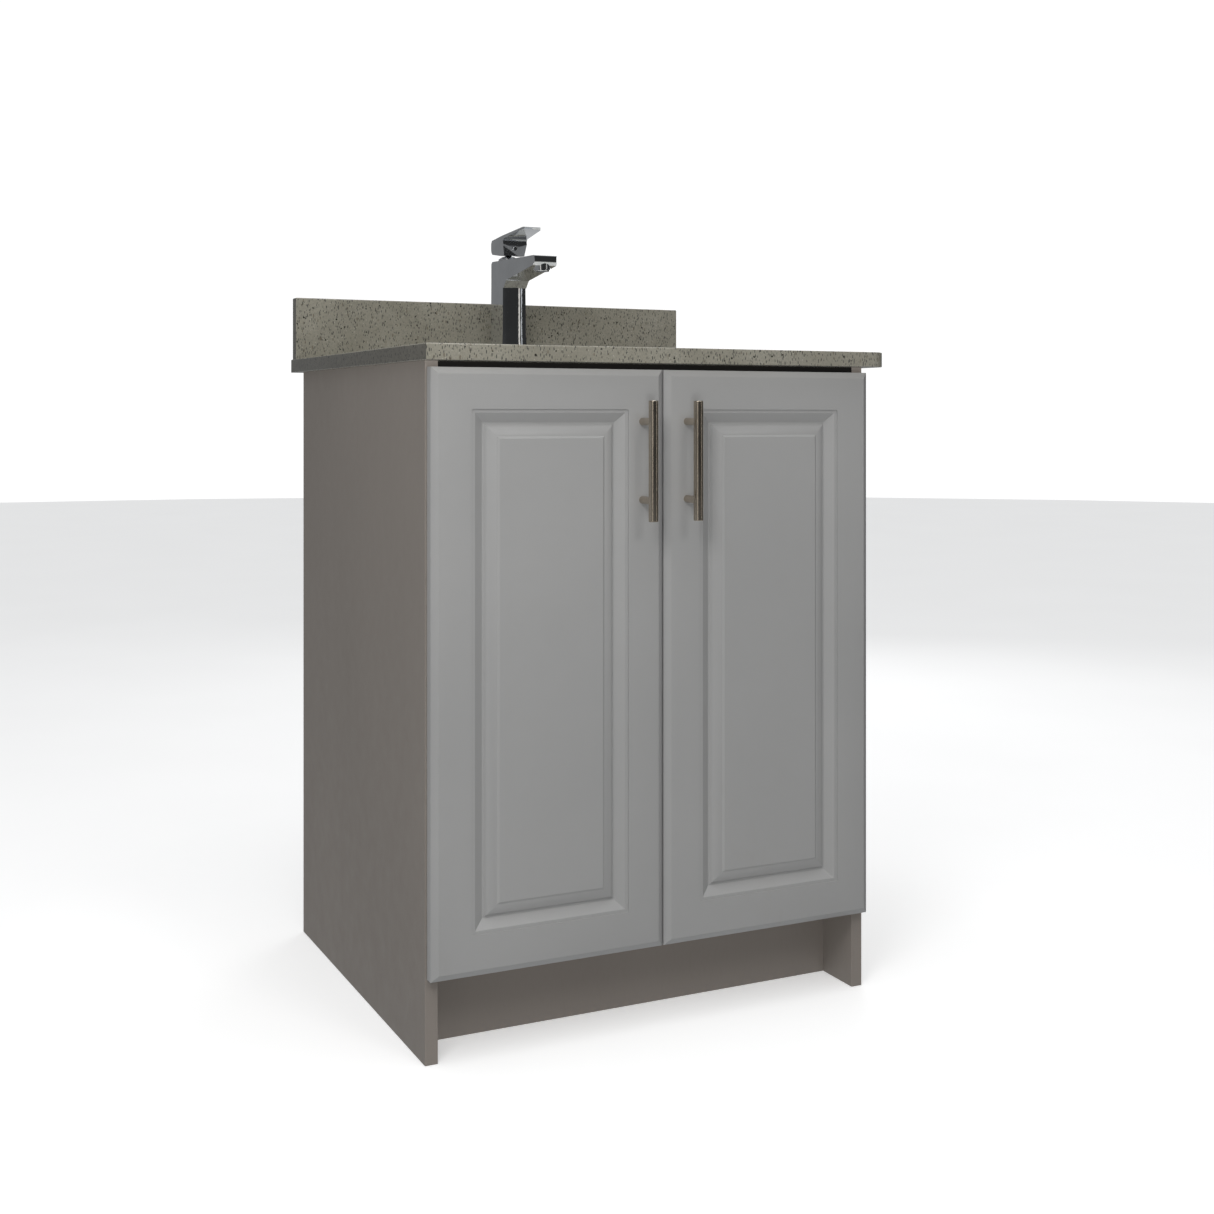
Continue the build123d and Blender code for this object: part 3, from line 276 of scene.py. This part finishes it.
def ceramic():
    m, nt, b, co = new_mat("basin_ceramic")
    n1 = noise(nt, co, 9.0, 3.0)
    base = ramp(nt, n1, [(0.3, (0.80, 0.80, 0.775)), (0.7, (0.84, 0.84, 0.82))])
    nt.links.new(base, b.inputs["Base Color"])
    nt.links.new(spread(nt, noise(nt, co, 130.0), 0.07, 0.12), b.inputs["Roughness"])
    setb(b, IOR=1.52, Coat_Weight=0.5, Coat_Roughness=0.04)
    bump(nt, b, [(noise(nt, co, 35.0, 2.0), 0.00005)])
    return m


def metal(name, col, r0, r1, scale=(60, 60, 60), brushed=None, wear=None, d=0.00001):
    m, nt, b, co = new_mat(name)
    n1 = noise(nt, mapped(nt, co, scale), 1.0, 4.0)
    dark = tuple(c * 0.90 for c in col)
    base = ramp(nt, n1, [(0.3, dark), (0.7, col)])
    if wear:
        w = noise(nt, co, 240.0, 5.0, 0.7)
        base = mix(nt, spread(nt, w, 0.0, 0.5, 0.6, 0.8), base, wear)
    nt.links.new(base, b.inputs["Base Color"])
    setb(b, Metallic=1.0)
    rough = spread(nt, n1, r0, r1, 0.3, 0.7)
    hs = [(n1, d)]
    if brushed:
        n2 = noise(nt, mapped(nt, co, brushed), 1.0, 3.0, 0.7)
        rough = math2(nt, "ADD", rough, spread(nt, n2, -0.04, 0.05, 0.3, 0.7))
        hs.append((n2, 0.000008))
    nt.links.new(rough, b.inputs["Roughness"])
    bump(nt, b, hs)
    return m


def plastic(name, col, r0=0.4, r1=0.55, d=0.00003):
    m, nt, b, co = new_mat(name)
    n1 = noise(nt, co, 18.0, 3.0)
    n2 = noise(nt, co, 1100.0, 2.0)
    base = ramp(nt, n1, [(0.3, tuple(c * 0.93 for c in col)), (0.7, col)])
    nt.links.new(base, b.inputs["Base Color"])
    nt.links.new(spread(nt, n1, r0, r1), b.inputs["Roughness"])
    bump(nt, b, [(n2, d)])
    return m


def beech():
    m, nt, b, co = new_mat("beech")
    g = noise(nt, mapped(nt, co, (40, 500, 500)), 1.0, 5.0, 0.6)
    base = ramp(nt, g, [(0.3, (0.46, 0.29, 0.15)), (0.7, (0.60, 0.41, 0.24))])
    nt.links.new(base, b.inputs["Base Color"])
    nt.links.new(spread(nt, g, 0.5, 0.7), b.inputs["Roughness"])
    bump(nt, b, [(g, 0.00005)])
    return m


MATS = {
    "door_foil": door_foil(), "carcass_board": board(), "edge_dark": rail_black_with_painted_shade(),
    "hardboard": hardboard(), "beech": beech(), "stone_top": stone(), "basin_ceramic": ceramic(),
    "chrome": metal("chrome", (0.80, 0.815, 0.835), 0.045, 0.085, (30, 30, 30), d=0.000006),
    "brushed_nickel": metal("brushed_nickel", (0.56, 0.495, 0.41), 0.17, 0.24, (80, 80, 20),
                            brushed=(2600, 2600, 40)),
    "zinc_steel": metal("zinc_steel", (0.62, 0.63, 0.64), 0.28, 0.42, (90, 90, 90),
                        wear=(0.45, 0.45, 0.44)),
    "brass": metal("brass", (0.72, 0.52, 0.24), 0.24, 0.38, (90, 90, 90), wear=(0.50, 0.34, 0.15)),
    "white_plastic": plastic("white_plastic", (0.74, 0.74, 0.71)),
    "black_rubber": plastic("black_rubber", (0.022, 0.022, 0.022), 0.6, 0.8, 0.00006),
    "silicone": plastic("silicone", (0.62, 0.62, 0.59), 0.35, 0.5),
    "clear_silicone": plastic("clear_silicone", (0.55, 0.55, 0.53), 0.3, 0.45),
}

slot_of = {}
for sp in frame["record"]["subparts"]:
    slot_of[sp["node"]] = sp.get("material_slot") or sp["node"]

BEVEL = {
    "faucet_body": 0.0007, "faucet_lever": 0.0006, "side_panel_left": 0.0004, "side_panel_right": 0.0004,
    "toe_kick": 0.0004, "bottom_panel": 0.0004, "shelf": 0.0004, "wall_rail": 0.0005,
    "lower_rear_rail": 0.0005, "back_panel": 0.0004, "hinge_arms_left": 0.0005,
    "hinge_arms_right": 0.0005, "hinge_plates_left": 0.0003, "hinge_plates_right": 0.0003,
    "hinge_cups_left": 0.0002, "hinge_cups_right": 0.0002, "drain_nut": 0.0006,
    "faucet_shank_nut": 0.0005, "sink_clips": 0.0003, "drain_body": 0.0003,
}

def crisp_group(angle):
    """Smooth faces, sharp edges above an angle."""
    g = bpy.data.node_groups.new("crisp_edges", "GeometryNodeTree")
    g.interface.new_socket("Geometry", in_out="INPUT", socket_type="NodeSocketGeometry")
    g.interface.new_socket("Geometry", in_out="OUTPUT", socket_type="NodeSocketGeometry")
    gi = g.nodes.new("NodeGroupInput")
    go = g.nodes.new("NodeGroupOutput")
    ea = g.nodes.new("GeometryNodeInputMeshEdgeAngle")
    cmp_ = g.nodes.new("FunctionNodeCompare")
    cmp_.data_type = "FLOAT"
    cmp_.operation = "LESS_THAN"
    cmp_.inputs[1].default_value = angle
    g.links.new(ea.outputs["Unsigned Angle"], cmp_.inputs[0])
    sf = g.nodes.new("GeometryNodeSetShadeSmooth")
    sf.domain = "FACE"
    se = g.nodes.new("GeometryNodeSetShadeSmooth")
    se.domain = "EDGE"
    g.links.new(gi.outputs[0], sf.inputs["Geometry"])
    g.links.new(sf.outputs[0], se.inputs["Geometry"])
    g.links.new(cmp_.outputs[0], se.inputs["Shade Smooth"])
    g.links.new(se.outputs[0], go.inputs[0])
    return g


CRISP = crisp_group(math.radians(24))


def crisp(ob):
    ob.modifiers.new("crisp_edges", "NODES").node_group = CRISP


for name, ob in nodes.items():
    mat = MATS[slot_of[name]]
    ob.data.materials.clear()
    ob.data.materials.append(mat)
    for p in ob.data.polygons:
        p.use_smooth = True
    w = ob.modifiers.new("weld", "WELD")
    w.merge_threshold = 0.000004
    if name in BEVEL:
        bv = ob.modifiers.new("eased_edges", "BEVEL")
        bv.width = BEVEL[name]
        bv.segments = 2
        bv.limit_method = "ANGLE"
        bv.angle_limit = math.radians(32)
        bv.harden_normals = False
        bv.use_clamp_overlap = True
    crisp(ob)
    if name in BEVEL:
        wn = ob.modifiers.new("flat_faces", "WEIGHTED_NORMAL")
        wn.mode = "FACE_AREA"
        wn.weight = 80
        wn.keep_sharp = True


# ---------------------------------------------------------------- stage and light
def area(name, loc, target, size, power, color=(1, 1, 1), size_y=None):
    ld = bpy.data.lights.new(name, "AREA")
    ld.energy = power
    ld.color = color
    ld.shape = "RECTANGLE"
    ld.size = size
    ld.size_y = size_y or size
    o = bpy.data.objects.new(name, ld)
    bpy.context.scene.collection.objects.link(o)
    o.location = loc
    d = Vector(target) - Vector(loc)
    o.rotation_euler = d.to_track_quat("-Z", "Y").to_euler()
    return o


def plane(name, size, z):
    me = bpy.data.meshes.new(name)
    bm = bmesh.new()
    bmesh.ops.create_grid(bm, x_segments=1, y_segments=1, size=size)
    bm.to_mesh(me)
    bm.free()
    o = bpy.data.objects.new(name, me)
    bpy.context.scene.collection.objects.link(o)
    o.location.z = z
    return o


floor = plane("floor", 14.0, -0.0005)
fm, fnt, fb, fco = new_mat("floor_pale")
fcol = ramp(fnt, noise(fnt, fco, 2.0), [(0.3, (0.80, 0.80, 0.80)), (0.7, (0.83, 0.83, 0.83))])
fnt.links.new(fcol, fb.inputs["Base Color"])
setb(fb, Roughness=0.85, Specular_IOR_Level=0.1, Emission_Color=(1, 1, 1, 1), Emission_Strength=0.42)
floor.data.materials.append(fm)
floor.visible_diffuse = False
floor.visible_glossy = False

# white backdrop that only the camera sees
dome_me = bpy.data.meshes.new("backdrop")
bm = bmesh.new()
bmesh.ops.create_icosphere(bm, subdivisions=4, radius=13.0)
for f in bm.faces:
    f.normal_flip()
bm.to_mesh(dome_me)
bm.free()
dome = bpy.data.objects.new("backdrop", dome_me)
bpy.context.scene.collection.objects.link(dome)
dm = bpy.data.materials.new("backdrop_white")
dm.use_nodes = True
dnt = dm.node_tree
dnt.nodes.clear()
do = dnt.nodes.new("ShaderNodeOutputMaterial")
de = dnt.nodes.new("ShaderNodeEmission")
de.inputs["Color"].default_value = (1, 1, 1, 1)
de.inputs["Strength"].default_value = 1.05
dnt.links.new(de.outputs[0], do.inputs["Surface"])
dome_me.materials.append(dm)
dome.visible_diffuse = False
dome.visible_glossy = False
dome.visible_transmission = False
dome.visible_shadow = False
dome.visible_volume_scatter = False

# soft studio surround: bright above, grey behind and to the left, dark to the front right
world = bpy.data.worlds.new("world")
bpy.context.scene.world = world
world.use_nodes = True
wt = world.node_tree
wt.nodes.clear()
wo = wt.nodes.new("ShaderNodeOutputWorld")
wb = wt.nodes.new("ShaderNodeBackground")
wt.links.new(wb.outputs[0], wo.inputs["Surface"])
wc = wt.nodes.new("ShaderNodeTexCoord")


def toward(vec, lo, hi, a, b2):
    d = wt.nodes.new("ShaderNodeVectorMath")
    d.operation = "DOT_PRODUCT"
    wt.links.new(wc.outputs["Generated"], d.inputs[0])
    d.inputs[1].default_value = vec
    r = wt.nodes.new("ShaderNodeMapRange")
    r.interpolation_type = "SMOOTHSTEP"
    r.inputs["From Min"].default_value = a
    r.inputs["From Max"].default_value = b2
    r.inputs["To Min"].default_value = lo
    r.inputs["To Max"].default_value = hi
    wt.links.new(d.outputs["Value"], r.inputs["Value"])
    return r.outputs["Result"]


side = toward((-0.62, 0.78, 0.0), 0.03, 0.21, -0.75, 0.55)
sky = toward((0.0, 0.0, 1.0), 0.0, 0.55, 0.35, 0.95)
ground = toward((0.0, 0.0, -1.0), 0.0, 0.40, 0.02, 0.55)
total = math2(wt, "ADD", math2(wt, "ADD", side, sky), ground)
wt.links.new(total, wb.inputs["Strength"])
wb.inputs["Color"].default_value = (0.97, 0.985, 1.0, 1)

key = area("key", (0.45, -2.75, 2.35), (0.0, -0.25, 0.55), 0.6, 9.6, (1.0, 0.99, 0.98))
fill = area("front_fill", (-1.00, -1.30, 1.60), (-0.25, -0.25, 0.6), 0.6, 9.2, (1.0, 0.99, 0.98))
top = area("top", (-0.2, -0.9, 2.9), (0.0, -0.1, 0.8), 1.2, 14.0)
low_fill = area("low_fill", (-0.75, -2.1, 0.22), (0.05, -0.2, 0.05), 0.5, 7.2)
right_strip = area("right_strip", (2.3, -1.9, 1.3), (0.0, -0.2, 0.8), 0.22, 0.7, (0.94, 0.97, 1.0), 1.7)
low_fill.visible_glossy = False
# two tall narrow boxes in front: the paired streaks along the pulls
streak_a = area("streak_a", (-1.95, -2.2, 1.0), (-0.03, -0.29, 0.7), 0.35, 2.5, (1.0, 0.95, 0.88), 2.4)
streak_b = area("streak_b", (1.9, -2.2, 1.0), (0.0, -0.29, 0.7), 0.28, 1.6, (1.0, 0.95, 0.88), 2.4)
back = area("back", (1.7, 2.2, 1.7), (0.1, 0.1, 0.6), 1.2, 12.0)
# the high lights pass the front lip of the top, as a large soft box close above it would
free = bpy.data.collections.new("lip_lets_light_by")
free.objects.link(nodes["countertop"])
for o in (key, fill, top):
    o.light_linking.blocker_collection = free
free.collection_objects[0].light_linking.link_state = "EXCLUDE"

bpy.context.scene.view_settings.view_transform = "Standard"
